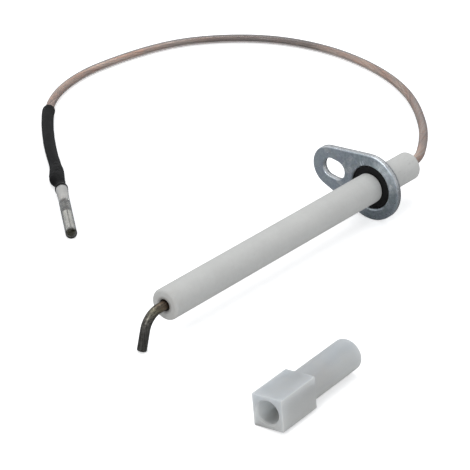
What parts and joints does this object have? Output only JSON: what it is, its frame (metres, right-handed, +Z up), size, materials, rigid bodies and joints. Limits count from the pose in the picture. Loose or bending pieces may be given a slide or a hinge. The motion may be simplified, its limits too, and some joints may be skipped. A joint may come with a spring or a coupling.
{
  "type": "ignition electrode",
  "caption": "Boiler ignition electrode: ceramic tube with a bent spark rod, teardrop steel flange with a fixing slot, clear high-voltage lead with a push-on socket, and a loose nylon adapter.",
  "frame": {"origin": "on the ceramic's axis, in the plane of the flange's front face, the face that is clamped against the burner door", "axes": "-X along the ceramic to the spark tip, +X to the lead, the flange's tab along +Y turned up 7.5 degrees, +Z up; the electrode lies on a surface at Z = -11.15 mm"},
  "size_m": [0.2121, 0.2061, 0.0223],
  "materials": {
    "ceramic_insulator": "matt unglazed alumina, slightly warm white",
    "electrode_rod": "oxidised iron-chromium-aluminium heating alloy, dark bronze grey",
    "rod_cement": "matt refractory cement",
    "splice_ferrule": "plain brass",
    "rear_potting": "matt silicone potting",
    "mounting_flange": "bright zinc plate with a blue tint, satin",
    "flange_seal": "matt black high-temperature seal",
    "lead_conductor": "bare tinned and plain copper strands, twisted",
    "lead_sheath": "clear silicone, slightly milky, satin",
    "heat_shrink_sleeve": "matt black heat-shrink tube, lightly wrinkled",
    "terminal_contact": "tin-plated brass, satin",
    "terminal_sleeve": "milky clear insulating sleeve, satin",
    "adapter_body": "natural nylon, milky white, satin"
  },
  "bodies": {
    "electrode": {"ceramic_insulator": "ceramic_insulator", "electrode_rod": "electrode_rod", "rod_cement": "rod_cement", "splice_ferrule": "splice_ferrule", "rear_potting": "rear_potting", "mounting_flange": "mounting_flange", "flange_seal": "flange_seal", "lead_conductor": "lead_conductor", "lead_sheath": "lead_sheath", "heat_shrink_sleeve": "heat_shrink_sleeve", "terminal_contact": "terminal_contact", "terminal_sleeve": "terminal_sleeve"},
    "adapter": {"adapter_body": "adapter_body"}
  },
  "joints": [
    {"name": "adapter_slide", "type": "slide", "parent": "electrode", "child": "adapter", "axis": [-0.9977, -0.068, 0], "range_m": [0, 0.04]}
  ]
}
